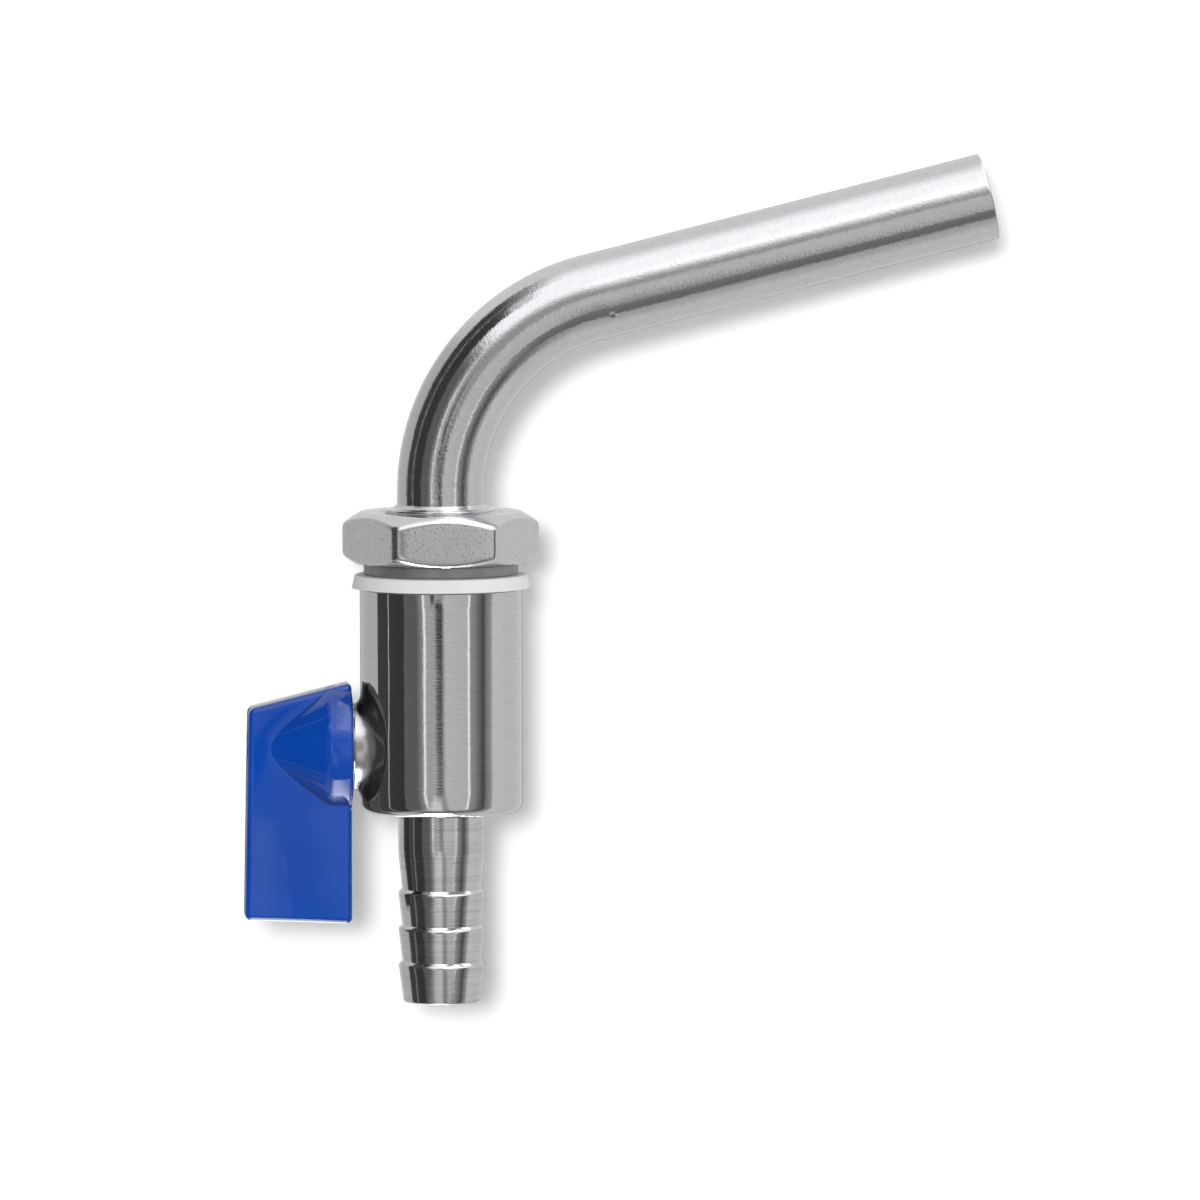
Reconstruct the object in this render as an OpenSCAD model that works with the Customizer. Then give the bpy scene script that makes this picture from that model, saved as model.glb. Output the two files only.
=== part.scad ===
// Sample tap: a small ball valve with a threaded tank shank, a bent sampling tube,
// a lock nut and a barbed hose tail. Z runs along the valve, up towards the bent tube.
// The tube bends towards +X and the handle stands out towards -X.
// The origin is on the valve's axis, in the face that the gasket seats on.

/* [Body] */
// Diameter of the valve body
body_d = 22.4; // [21.6:0.1:25]
// Length of the body below the gasket seat
body_h = 31; // [30:0.1:36]
// Radius round the body's lower edge
body_edge_r = 1.3; // [0.5:0.1:1.6]
// Depth of the stem's axis below the gasket seat
stem_drop = 21.9; // [20.5:0.1:22.5]

/* [Threaded shank] */
// Outside diameter of the shank's pipe thread
shank_d = 16.66; // [16.2:0.01:17.4]
// Length of the shank above the gasket seat
shank_h = 10.9; // [10.2:0.1:14]
// Pitch of the shank's thread
thread_pitch = 1.337; // [1:0.001:1.5]
// Chamfer round the shank's free end
shank_chamfer = 0.7; // [0.3:0.1:0.9]

/* [Bent tube] */
// Outside diameter of the sampling tube
tube_d = 12; // [11:0.1:12.4]
// Wall of the sampling tube
tube_wall = 1; // [0.8:0.1:1.5]
// Depth of the tube's end in the shank
socket_depth = 10; // [6:0.5:10]
// Straight length of tube between the shank and the bend
bend_rise = 2.3; // [0.8:0.1:6]
// Radius of the bend, at the middle of the tube
bend_r = 27.5; // [22:0.5:34]
// Angle that the tube is bent through
bend_angle = 76; // [60:1:90]
// Straight length of tube past the bend
arm_l = 56.7; // [40:0.1:80]
// Leg of the braze fillet round the tube
braze_leg = 0.9; // [0.5:0.1:1.1]

/* [Ball and seats] */
// Diameter of the ball
ball_d = 14; // [13.4:0.1:14.2]
// Diameter of the flow bore, through body, ball, seats and tail
bore_d = 8; // [6.5:0.1:8.4]
// Angle between the flow axis and the line where a seat touches the ball
seat_angle = 49; // [46:0.5:52]
// Thickness of a seat behind its cone, at the bore
seat_land = 0.8; // [0.6:0.1:1.1]
// Clearance between the ball and its seats
seat_gap = 0.1; // [0.05:0.01:0.15]
// Clearance between the ball and the wall of its chamber
ball_room = 0.5; // [0.35:0.05:0.6]

/* [Stem and boss] */
// Diameter of the stem
stem_d = 5; // [4.6:0.1:5.4]
// Running clearance round the stem
stem_clear = 0.05; // [0.02:0.01:0.08]
// Diameter of the stem's collar
collar_d = 6.8; // [6.4:0.1:7]
// Thickness of the stem's collar
collar_t = 1.2; // [0.9:0.1:1.3]
// Thickness of the thrust washer outside the collar
thrust_t = 0.4; // [0.3:0.05:0.6]
// Thickness of the tang that turns the ball
tang_t = 2.4; // [1.8:0.1:3]
// Depth of the tang in the ball's slot
tang_h = 1.6; // [1.2:0.1:1.8]
// Width across the flats that the handle sits on
stem_flats = 3.5; // [3:0.1:4]
// Length of the stem past the hub's recess
stem_grip = 5.6; // [4.5:0.1:6]
// Section of the stem's O-rings
oring_w = 0.9; // [0.7:0.05:1]
// Diameter of the boss that carries the stem
boss_d = 12; // [11.6:0.1:12.6]
// Distance from the valve's axis to the boss's face
boss_out = 12.15; // [12:0.05:13.5]
// Reach of the fillet at the boss's root, along the body
boss_fillet = 2; // [1.2:0.1:2.4]

/* [Stops] */
// Diameter of the neck on the boss's face
neck_d = 7.8; // [7.4:0.1:8]
// Height of the neck and its stop lug
neck_h = 1.45; // [1:0.05:1.6]
// Height of the stop lug above the neck, all round
lug_w = 1.5; // [1.2:0.1:1.6]
// Angle that the stop lug spans
lug_span = 60; // [40:1:75]
// Angle between open and closed
turn_angle = 90; // [80:1:95]

/* [Handle] */
// Diameter of the hub's collar
hub_d = 17; // [16.4:0.1:18]
// Length of the hub's collar along the stem
hub_l = 3.3; // [2.6:0.1:4]
// Gap between the boss's face and the hub
hub_gap = 0.3; // [0.25:0.05:0.6]
// Size of the wing along the stem
wing_w = 14.9; // [14.4:0.1:17]
// Thickness of the wing at the hub
wing_t = 6; // [5.6:0.1:7]
// Thickness of the wing at its tip
wing_tip_t = 4.6; // [3.6:0.1:6]
// Length of the wing below the stem's axis
wing_l = 23.8; // [20:0.1:30]
// Height of the wing above the stem's axis, at the hub's face
wing_rise = 9; // [8.8:0.1:10]
// Slope of the wing's upper edge
wing_slope = 14; // [8:0.5:18]
// Slope of the wing's outer edge
wing_flare = 1.2; // [0:0.1:2]
// Slope of the wing's lower edge
wing_heel = 2.4; // [0:0.1:4]
// Radius of the wing's corners
wing_r = 0.8; // [0.4:0.1:1.2]
// Distance along the stem, from the collar to where the hub's cone meets the wing's face
cone_l = 7.9; // [6.5:0.1:9]

/* [Handle screw] */
// Diameter of the screw's thread
screw_d = 2.5; // [2:0.1:2.6]
// Diameter of the screw's head
screw_head_d = 4.4; // [4:0.1:4.6]
// Height of the screw's head
screw_head_h = 1.6; // [1.2:0.1:2]
// Length of the screw under its head
screw_l = 6; // [4.5:0.1:6.5]
// Thickness of the washer under the screw's head
screw_washer_t = 0.4; // [0.3:0.05:0.6]
// Thickness of the handle's web between stem and screw head
web_t = 1.4; // [1:0.1:1.8]

/* [Nut and washers] */
// Width across the nut's flats
nut_af = 24; // [22:0.1:27]
// Height of the nut
nut_h = 7; // [5:0.1:7.2]
// Diameter of the nut's upper face, inside its chamfer
nut_face_d = 22.2; // [21:0.1:23]
// Slope of the nut's upper chamfer
nut_chamfer_angle = 30; // [20:1:35]
// Clearance between the nut and the crests of the shank's thread
thread_clear = 0.08; // [0.04:0.01:0.1]
// Diameter of the flat washer
washer_d = 21.3; // [19.5:0.1:23]
// Thickness of the flat washer
washer_t = 1.6; // [1:0.1:2]
// Clearance between the washers' holes and the shank
washer_clear = 0.3; // [0.25:0.05:0.5]
// Diameter of the gasket at the body
gasket_d = 24.6; // [22.6:0.1:26]
// Diameter of the gasket at the washer
gasket_top_d = 23.8; // [22:0.1:24.6]
// Thickness of the gasket
gasket_t = 1.9; // [1.2:0.1:2]

/* [Hose tail] */
// Outside diameter of the hose tail
tail_d = 12; // [11:0.1:13]
// Length of the hose tail below the body
tail_l = 26.3; // [24:0.1:34]
// Length of its plain upper part
tail_plain = 5.6; // [4:0.1:6]
// Distance from the body to the first barb
tail_first = 11.2; // [10:0.1:12]
// Distance between barbs
barb_pitch = 5; // [4:0.1:5.5]
// Number of barbs
barb_count = 3; // [1:1:3]
// Height of a barb's step
barb_step = 0.52; // [0.3:0.02:0.8]
// Diameter at the tail's free end
tail_end_d = 10.6; // [10.2:0.1:11]
// Diameter of the thread that holds the tail in the body
tail_thread_d = 17; // [16.9:0.1:17.4]
// Clearance of parts that are screwed or pressed together
seat_clear = 0.05; // [0.02:0.01:0.08]
// Thickness of the ring that seals the tail
seal_t = 0.4; // [0.3:0.05:0.6]

/* [Hidden] */
$fn = 96;

STEEL = [0.74, 0.75, 0.77];
GREY_STEEL = [0.50, 0.51, 0.53];
BRAZE = [0.80, 0.80, 0.80];
WHITE = [0.94, 0.94, 0.93];
BLACK = [0.10, 0.10, 0.10];
BLUE = [0.05, 0.20, 0.70];

// Cuts run past a face by this much
past = 1;
// Overlap where one form grows out of another in the same piece
grow = 0.2;

// Valve body
body_r = body_d / 2;
seat_edge = 0.25;
stem_z = -stem_drop;
shank_r = shank_d / 2;
thread_depth = 0.64 * thread_pitch;
root_r = shank_r - thread_depth;
bore_r = bore_d / 2;
tube_r = tube_d / 2;
socket_z = shank_h - socket_depth;
bend_thin = 0.04;
braze_rise = 0.7 * braze_leg;
braze_lip = 0.15;
braze_steps = 8;

// Ball, seats and their chamber. The seats and the tail's seal leave room for the collar.
ball_r = ball_d / 2;
chamber_r = ball_r + ball_room;
collar_r = collar_d / 2;
collar_room = 0.2;
seat_r = chamber_r - seat_clear;
seat_touch_r = (ball_r + seat_gap) * sin(seat_angle);
seat_touch_z = (ball_r + seat_gap) * cos(seat_angle);
seat_front = collar_r + collar_room;
seat_back = seat_touch_z + (seat_touch_r - bore_r) * tan(seat_angle) + seat_land;

// Hose tail's head, which holds the lower seat
nose_wall = 0.65;
nose_r = chamber_r + nose_wall - seat_clear;
nose_drop = collar_r + collar_room + seal_t;
nose_z = stem_z - nose_drop;
nose_h = 1.6;
tail_thread_r = tail_thread_d / 2;
tail_r = tail_d / 2;
tail_end_edge = 0.3;
tail_root_bead = 0.3;
pin_slot_w = 2;
pin_slot_depth = 1;
pin_slot_rim = 1.2;

// Stem, measured from the valve's axis outwards
tang_play = 0.1;
stem_r = stem_d / 2;
collar_in = ball_r + tang_play;
collar_out = collar_in + collar_t;
face_gap = 0.02;
thrust_in = collar_out + face_gap;
thrust_out = thrust_in + thrust_t;
tang_in = collar_in - tang_h + tang_play;
boss_r = boss_d / 2;
neck_r = neck_d / 2;
neck_out = boss_out + neck_h;
lug_r = neck_r + lug_w;
bearing_l = neck_out - thrust_out;
groove_w = oring_w + 0.25;
groove_r = stem_r - oring_w;
groove_at = [thrust_out + bearing_l * 0.27, thrust_out + bearing_l * 0.73];

// Handle
hub_in = boss_out + hub_gap;
hub_out = hub_in + hub_l;
hub_r = hub_d / 2;
recess_gap = 0.3;
recess_out = neck_out + recess_gap;
recess_r = lug_r + recess_gap;
hub_lug_r = neck_r + recess_gap;
stem_end = recess_out + stem_grip;
grip_clear = 0.03;
tip_gap = 0.2;
web_in = stem_end + tip_gap;
web_out = web_in + web_t;
wing_out = hub_in + wing_w;
cone_slope = (hub_r - wing_t / 2) / cone_l;
cone_end_r = wing_t / 2 - 0.1;
screw_r = screw_d / 2;
screw_head_r = screw_head_d / 2;
screw_in = web_out + screw_washer_t;
screw_well_r = screw_head_r + 0.15;
screw_hole_r = screw_r + 0.1;
screw_hole_l = screw_l - screw_washer_t - web_t + 0.6;

// Stop lugs, as angles round the stem from straight up, with the handle at open
stop_play = 1.5;
hub_lug_span = 360 - turn_angle - lug_span - 2 * stop_play;
hub_lug_from = lug_span / 2 + stop_play + turn_angle;

// Nut and washers
washer_edge = 0.15;
washer_z = gasket_t;
nut_z = washer_z + washer_t;
nut_bore_r = shank_r + thread_clear;
washer_bore_r = shank_r + washer_clear;
nut_corner_r = nut_af / 2 / cos(30);
nut_face_r = nut_face_d / 2;
nut_top = nut_z + nut_h;
nut_seat_r = nut_af / 2 - 0.6;
nut_seat_lip = [0.9, 0.35];
nut_seat_rise = 2.2;

// Puts a form that is drawn along Z onto the stem's axis, pointing outwards
module on_stem() {
    translate([0, 0, stem_z]) rotate([0, -90, 0]) children();
}

// A ring or disc between two radii, from z0 to z1
module ring(r_out, r_in, z0, z1) {
    difference() {
        translate([0, 0, z0]) cylinder(r = r_out, h = z1 - z0);
        translate([0, 0, z0 - past]) cylinder(r = r_in, h = z1 - z0 + 2 * past);
    }
}

// Points of an arc, with its centre, radius and first and last angle
function arc(c, r, a0, a1, n) =
    [for (i = [0:n]) let (a = a0 + (a1 - a0) * i / n) c + r * [cos(a), sin(a)]];

// The saddle-shaped fillet between the round body and the boss that stands out of it.
// At each angle round the stem, a curve leaves the body along its surface and runs into
// the boss along the stem. Its root is sunk a hair below both, so that they fuse.
fillet_steps = 48;
fillet_rows = 8;
fillet_sink = 0.03;
fillet_core_r = stem_r + 1.6;
fillet_core_x = 7.9;
fillet_foot_r = boss_r + boss_fillet;

function body_x(y) = sqrt(pow(body_r - fillet_sink, 2) - y * y);
function body_lean(a) =
    let (y = fillet_foot_r * cos(a)) fillet_foot_r * cos(a) * cos(a) / body_x(y);
function fillet_foot_x(a) = body_x(fillet_foot_r * cos(a));
function fillet_knee_x(a) = fillet_foot_x(a) + body_lean(a) * boss_fillet;
function fillet_point(a, t) =
    let (foot = [fillet_foot_x(a), fillet_foot_r],
         knee = [min(fillet_knee_x(a), boss_out - grow), boss_r - fillet_sink],
         lip = [boss_out, boss_r - fillet_sink],
         p = pow(1 - t, 2) * foot + 2 * t * (1 - t) * knee + t * t * lip)
    [-p[0], p[1] * cos(a), p[1] * sin(a)];

module boss_root_fillet() {
    rows = fillet_rows + 3;
    points = [
        for (i = [0:fillet_steps - 1]) let (a = 360 * i / fillet_steps)
            each concat(
                [for (j = [0:fillet_rows]) fillet_point(a, j / fillet_rows)],
                [[-boss_out, fillet_core_r * cos(a), fillet_core_r * sin(a)],
                 [-fillet_core_x, fillet_core_r * cos(a), fillet_core_r * sin(a)]])];
    faces = [
        for (i = [0:fillet_steps - 1], j = [0:rows - 1])
            let (k = (i + 1) % fillet_steps, m = (j + 1) % rows,
                 p = i * rows + j, q = i * rows + m, r = k * rows + m, s = k * rows + j)
            each [[p, r, q], [p, s, r]]];
    translate([0, 0, stem_z]) polyhedron(points, faces);
}

// Half section of the body and shank, without its bores
module body_outline() {
    polygon(concat(
        [[0, -body_h]],
        arc([body_r - body_edge_r, -body_h + body_edge_r], body_edge_r, -90, 0, 10),
        [[body_r, -seat_edge], [body_r - seat_edge, 0], [root_r, 0], [root_r, thread_pitch],
         [shank_r, thread_pitch + thread_depth], [shank_r, shank_h - shank_chamfer],
         [shank_r - shank_chamfer, shank_h], [0, shank_h]]));
}

module valve_body() {
    color(STEEL) difference() {
        union() {
            rotate_extrude() body_outline();
            on_stem() cylinder(r = boss_r, h = boss_out);
            boss_root_fillet();
            on_stem() cylinder(r = neck_r, h = neck_out);
            on_stem() translate([0, 0, boss_out - grow])
                rotate([0, 0, -lug_span / 2]) rotate_extrude(angle = lug_span)
                    translate([stem_r + grow, 0])
                        square([lug_r - stem_r - grow, neck_h + grow]);
        }
        // Tube socket, flow bore and ball chamber
        translate([0, 0, socket_z]) cylinder(r = tube_r + seat_clear, h = socket_depth + past);
        translate([0, 0, stem_z]) cylinder(r = bore_r, h = stem_drop + shank_h);
        translate([0, 0, nose_z]) cylinder(r = chamber_r, h = nose_drop + seat_back);
        // Bore for the tail's nose, its seal and its thread
        translate([0, 0, -body_h - past])
            cylinder(r = nose_r + seat_clear, h = body_h + past + nose_z + seal_t);
        translate([0, 0, -body_h - past])
            cylinder(r = tail_thread_r + seat_clear, h = body_h + past + nose_z - nose_h + grow);
        // Stem bore, and the pocket for its collar and thrust washer
        on_stem() cylinder(r = stem_r + stem_clear, h = neck_out + past);
        on_stem() cylinder(r = collar_r + stem_clear, h = thrust_out);
    }
}

// Straight stub in the shank, bend, and straight arm. The bend's wall is a hair thinner
// than the straight wall, as a bent tube's is, and runs a little way into it at each end.
module spout_tube() {
    bend_z = shank_h + bend_rise;
    module wall_section(shrink = 0) {
        difference() {
            circle(r = tube_r - shrink);
            circle(r = tube_r - tube_wall + shrink);
        }
    }
    color(STEEL) {
        translate([0, 0, socket_z]) linear_extrude(bend_z + grow - socket_z) wall_section();
        translate([bend_r, 0, bend_z]) rotate([90, 0, 0]) rotate([0, 0, 180 - bend_angle])
            rotate_extrude(angle = bend_angle) translate([bend_r, 0]) wall_section(bend_thin);
        translate([bend_r, 0, bend_z]) rotate([0, bend_angle, 0]) translate([-bend_r, 0, -grow])
            linear_extrude(arm_l + grow) wall_section();
    }
}

// Fillet of filler metal between the tube and the shank's end, hollow in section
module braze_ring() {
    inner = tube_r + seat_clear;
    color(BRAZE) rotate_extrude() polygon(concat(
        [[inner, shank_h], [inner, shank_h + braze_rise]],
        [for (i = [0:braze_steps]) let (t = i / braze_steps)
            [inner + braze_lip + (braze_leg - braze_lip) * t,
             shank_h + braze_rise * (0.03 + 0.85 * pow(1 - t, 1.6))]],
        [[inner + braze_leg, shank_h]]));
}

module shoulder_gasket() {
    color(WHITE) rotate_extrude() polygon([
        [washer_bore_r, 0], [gasket_d / 2, 0],
        [gasket_top_d / 2, gasket_t], [washer_bore_r, gasket_t]]);
}

module flat_washer() {
    edge = washer_edge;
    color(GREY_STEEL) rotate_extrude() polygon([
        [washer_bore_r, washer_z], [washer_d / 2 - edge, washer_z],
        [washer_d / 2, washer_z + edge], [washer_d / 2, nut_z - edge],
        [washer_d / 2 - edge, nut_z], [washer_bore_r, nut_z]]);
}

// Hexagon with a chamfer above and a low, rounded one below. The bore is at the thread's
// crests, and opens out to the thread's depth below and to half of that above.
module lock_nut() {
    over = nut_corner_r + past;
    flare = thread_depth;
    color(STEEL) difference() {
        intersection() {
            translate([0, 0, nut_z]) cylinder(r = nut_corner_r, h = nut_h, $fn = 6);
            rotate_extrude() polygon([
                [0, nut_z], [nut_seat_r, nut_z],
                [nut_corner_r - nut_seat_lip[0], nut_z + nut_seat_lip[1]],
                [over, nut_z + nut_seat_rise],
                [over, nut_top - (over - nut_face_r) * tan(nut_chamfer_angle)],
                [nut_face_r, nut_top], [0, nut_top]]);
        }
        translate([0, 0, nut_z - past]) cylinder(r = nut_bore_r, h = nut_h + 2 * past);
        translate([0, 0, nut_z]) rotate_extrude() polygon([
            [0, -past], [nut_bore_r + flare + past, -past], [nut_bore_r, flare], [0, flare]]);
        translate([0, 0, nut_top]) rotate_extrude() polygon([
            [0, past], [nut_bore_r + flare / 2 + past, past],
            [nut_bore_r, -flare / 2], [0, -flare / 2]]);
    }
}

// Half section of the tail's outside below the body: plain part, taper, then barbs
function tail_profile() = concat(
    [[tail_r, 0], [tail_r, tail_plain], [tail_r - barb_step, tail_first - barb_step]],
    [for (i = [0:barb_count - 1]) let (at = tail_first + i * barb_pitch)
        each (i < barb_count - 1)
            ? [[tail_r, at], [tail_r - barb_step, at + barb_pitch - barb_step]]
            : [[tail_r, at]]],
    [[tail_end_d / 2, tail_l - tail_end_edge], [tail_end_d / 2 - tail_end_edge, tail_l]]);

module hose_tail() {
    slot_l = tail_thread_r - tail_r - pin_slot_rim;
    color(STEEL) difference() {
        union() {
            translate([0, 0, -body_h]) rotate([180, 0, 0]) rotate_extrude()
                polygon(concat([[0, 0]], tail_profile(), [[0, tail_l]]));
            translate([0, 0, -body_h - tail_root_bead])
                cylinder(r1 = tail_r, r2 = tail_r + tail_root_bead, h = tail_root_bead);
            translate([0, 0, -body_h]) cylinder(r = tail_thread_r, h = nose_z - nose_h + body_h);
            translate([0, 0, -body_h]) cylinder(r = nose_r, h = nose_z + body_h);
        }
        // Flow bore, and the pocket that holds the lower seat
        translate([0, 0, -body_h - tail_l - past]) cylinder(r = bore_r, h = body_h + tail_l + past);
        translate([0, 0, stem_z - seat_back]) cylinder(r = chamber_r, h = seat_back);
        // Two slots for a pin spanner, in the head's lower face
        for (side = [-1, 1])
            translate([side * (tail_r + tail_thread_r + tail_root_bead) / 2, 0, -body_h])
                cube([slot_l, pin_slot_w, 2 * pin_slot_depth], center = true);
    }
}

module tail_seal() {
    color(WHITE) ring(nose_r, chamber_r + seat_clear, nose_z, nose_z + seal_t);
}

// A seat ring whose cone lies tangent to the ball, just off it
module seat() {
    lip_r = seat_touch_r + (seat_touch_z - seat_front) / tan(seat_angle);
    rotate_extrude() polygon([
        [bore_r, seat_back - seat_land], [lip_r, seat_front], [seat_r, seat_front],
        [seat_r, seat_back], [bore_r, seat_back]]);
}

module upper_seat() {
    color(WHITE) translate([0, 0, stem_z]) seat();
}

module lower_seat() {
    color(WHITE) translate([0, 0, stem_z]) mirror([0, 0, 1]) seat();
}

// The ball, bored along the flow, with a slot across the bore for the stem's tang
module ball() {
    slot_h = tang_h + tang_play;
    color(STEEL) translate([0, 0, stem_z]) difference() {
        sphere(r = ball_r);
        cylinder(r = bore_r, h = ball_d + past, center = true);
        translate([-ball_r + slot_h / 2 - past / 2, 0, 0])
            cube([slot_h + past, ball_d, tang_t + 2 * seat_clear], center = true);
    }
}

// The stem goes in from the chamber: tang, collar, two O-ring grooves, flats, screw hole
module valve_stem() {
    flats_from = recess_out;
    color(STEEL) on_stem() difference() {
        union() {
            intersection() {
                translate([0, 0, tang_in]) cylinder(r = stem_r, h = tang_h + grow);
                translate([-tang_t / 2, -stem_d, 0]) cube([tang_t, stem_d * 2, collar_out]);
            }
            translate([0, 0, collar_in]) cylinder(r = collar_r, h = collar_t);
            translate([0, 0, collar_in]) cylinder(r = stem_r, h = stem_end - collar_in);
        }
        for (at = groove_at) ring(stem_r + past, groove_r, at - groove_w / 2, at + groove_w / 2);
        for (side = [-1, 1])
            translate([side * (stem_flats / 2 + stem_d / 2), 0, flats_from + stem_grip])
                cube([stem_d, 2 * stem_d, 2 * stem_grip], center = true);
        translate([0, 0, stem_end - screw_hole_l]) cylinder(r = screw_r, h = screw_hole_l + past);
    }
}

module thrust_washer() {
    color(WHITE) on_stem() ring(collar_r, stem_r + stem_clear, thrust_in, thrust_out);
}

module oring(at) {
    on_stem() translate([0, 0, at]) rotate_extrude()
        translate([groove_r + oring_w / 2, 0]) circle(r = oring_w / 2);
}

module inner_oring() {
    color(BLACK) oring(groove_at[0]);
}

module outer_oring() {
    color(BLACK) oring(groove_at[1]);
}

// Point where two lines meet, each given as a point and a direction angle
function meet(p, a, q, b) =
    let (d = [cos(a), sin(a)], e = [cos(b), sin(b)], w = q - p)
    p + d * (w[0] * e[1] - w[1] * e[0]) / (d[0] * e[1] - d[1] * e[0]);

// Arc that rounds the corner at p, between the points before and after it
function rounded(before, p, after, r) =
    let (u = (before - p) / norm(before - p), v = (after - p) / norm(after - p),
         half = acos(u * v) / 2, mid = (u + v) / norm(u + v), c = p + mid * r / sin(half),
         s = u[0] * v[1] - u[1] * v[0] > 0 ? 1 : -1, m = atan2(-mid[1], -mid[0]))
    arc(c, r, m + s * (90 - half), m - s * (90 - half), 6);

// Wing outline, X outwards along the stem and Y up from the stem's axis
function wing_corners() =
    let (inner = [hub_in, 0], outer = [wing_out, -wing_l],
         up = 90 + wing_flare, heel = 180 - wing_heel)
    [[hub_in, wing_rise],
     meet([hub_in, wing_rise], -wing_slope, outer, up),
     outer,
     meet(outer, 180 + wing_heel, inner, 90)];

module wing_outline() {
    c = wing_corners();
    polygon([for (i = [0:3]) each rounded(c[(i + 3) % 4], c[i], c[(i + 1) % 4], wing_r)]);
}

// Section of the wing across its faces: parallel at the hub, then thinner to the tip
module wing_section() {
    top = wing_rise + past;
    polygon([
        [-wing_t / 2, top], [-wing_t / 2, -hub_r], [-wing_tip_t / 2, -wing_l - past * 3],
        [wing_tip_t / 2, -wing_l - past * 3], [wing_t / 2, -hub_r], [wing_t / 2, top]]);
}

module handle() {
    color(BLUE) difference() {
        union() {
            translate([0, 0, stem_z]) intersection() {
                rotate([90, 0, 0]) mirror([1, 0, 0])
                    linear_extrude(wing_t + past, center = true) wing_outline();
                rotate([0, 0, 90]) rotate([90, 0, 0])
                    linear_extrude(4 * wing_out, center = true) wing_section();
            }
            on_stem() translate([0, 0, hub_in]) cylinder(r = hub_r, h = hub_l);
            on_stem() translate([0, 0, hub_out])
                cylinder(r1 = hub_r, r2 = cone_end_r, h = cone_l + (wing_t / 2 - cone_end_r) / cone_slope);
        }
        // Recess round the boss's neck, less the lug that meets the stop
        on_stem() difference() {
            translate([0, 0, hub_in - past]) cylinder(r = recess_r, h = recess_out - hub_in + past);
            translate([0, 0, hub_in]) rotate([0, 0, hub_lug_from])
                rotate_extrude(angle = hub_lug_span) translate([hub_lug_r, 0])
                    square([recess_r - hub_lug_r + past, recess_out - hub_in]);
        }
        // Socket for the stem's flats, screw hole and screw well
        on_stem() intersection() {
            cylinder(r = stem_r + grip_clear, h = web_in);
            translate([-stem_flats / 2 - grip_clear, -stem_d, 0])
                cube([stem_flats + 2 * grip_clear, 2 * stem_d, web_in]);
        }
        on_stem() cylinder(r = screw_hole_r, h = wing_out);
        on_stem() translate([0, 0, web_out]) cylinder(r = screw_well_r, h = wing_w);
    }
}

module screw_washer() {
    color(STEEL) on_stem() ring(screw_head_r, screw_hole_r, web_out, screw_in);
}

// Cheese-head screw with a crossed slot
module handle_screw() {
    cross_w = 0.7;
    cross_depth = 0.9;
    color(STEEL) on_stem() difference() {
        union() {
            translate([0, 0, screw_in]) cylinder(r = screw_head_r, h = screw_head_h);
            translate([0, 0, screw_in - screw_l]) cylinder(r = screw_r - seat_clear, h = screw_l + grow);
        }
        for (turn = [0, 90]) rotate([0, 0, turn])
            translate([0, 0, screw_in + screw_head_h])
                cube([screw_head_r * 1.2, cross_w, 2 * cross_depth], center = true);
    }
}

valve_body();
spout_tube();
braze_ring();
shoulder_gasket();
flat_washer();
lock_nut();
hose_tail();
tail_seal();
upper_seat();
lower_seat();
ball();
valve_stem();
thrust_washer();
inner_oring();
outer_oring();
handle();
screw_washer();
handle_screw();
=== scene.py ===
"""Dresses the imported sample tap: finer pieces over the CAD frame, their finishes, and a
plain studio with the camera at the photograph's angle. Lengths are in metres, except in the
sections of turned pieces and the capital sizes, which are in millimetres."""

import math

import bmesh
import bpy
from bpy.props import FloatProperty, FloatVectorProperty, IntProperty, PointerProperty
from mathutils import Matrix, Vector


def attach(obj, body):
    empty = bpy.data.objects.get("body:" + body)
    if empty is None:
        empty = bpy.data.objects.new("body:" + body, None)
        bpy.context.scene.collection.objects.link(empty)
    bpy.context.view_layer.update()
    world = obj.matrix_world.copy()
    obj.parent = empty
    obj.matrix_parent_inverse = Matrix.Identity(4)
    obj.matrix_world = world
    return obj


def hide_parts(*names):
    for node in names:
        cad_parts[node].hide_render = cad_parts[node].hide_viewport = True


bl_info = {
    "name": "Sample tap",
    "version": (1, 0, 0),
    "blender": (4, 5, 0),
    "location": "View3D > Sidebar > Sample Tap",
    "description": "Builds the visible pieces of a sample tap round its CAD frame",
    "category": "Object",
}

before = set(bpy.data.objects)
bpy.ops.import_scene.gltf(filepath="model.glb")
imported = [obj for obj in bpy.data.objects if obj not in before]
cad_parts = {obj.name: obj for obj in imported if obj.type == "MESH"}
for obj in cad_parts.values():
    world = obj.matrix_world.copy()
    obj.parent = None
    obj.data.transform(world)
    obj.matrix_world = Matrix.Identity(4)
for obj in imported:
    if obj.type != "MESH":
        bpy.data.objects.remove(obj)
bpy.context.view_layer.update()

MM = 0.001
FULL_TURN = 2 * math.pi
AXIS_Z = Vector((0, 0, 1))

# Sizes in mm that follow the CAD's, a few of them by a hundredth or two more or less. R is a
# radius from the piece's own axis.
BODY_R, BODY_FOOT = 11.2, -31
HEAD_HOLE_R, HEAD_NOSE_HOLE_R, CHAMBER_R, FLOW_R = 8.55, 8.15, 7.5, 4
BOSS_R, BOSS_FACE, STEM_HOLE_R, COLLAR_HOLE_R = 6.0, 12.15, 2.55, 3.45
SHANK_ROOT_R, SHANK_CREST_R, SHANK_END_R, SHANK_TOP = 7.49, 8.33, 7.63, 10.9
THREAD_FROM, THREAD_TO = 0.9, 10.25
CLEAR_R = 8.63
GASKET_TOP, WASHER_TOP, NUT_TOP = 1.89, 3.5, 10.5
NUT_FLAT, NUT_ROOT_R, NUT_CREST_R, NUT_THREAD_FROM, NUT_THREAD_TO = 12, 8.41, 7.85, 4.2, 9.9
TUBE_R, TUBE_HOLE_R, TUBE_FOOT, BEND_R, ARM = 6, 5, 0.9, 27.5, 56.7
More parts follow.
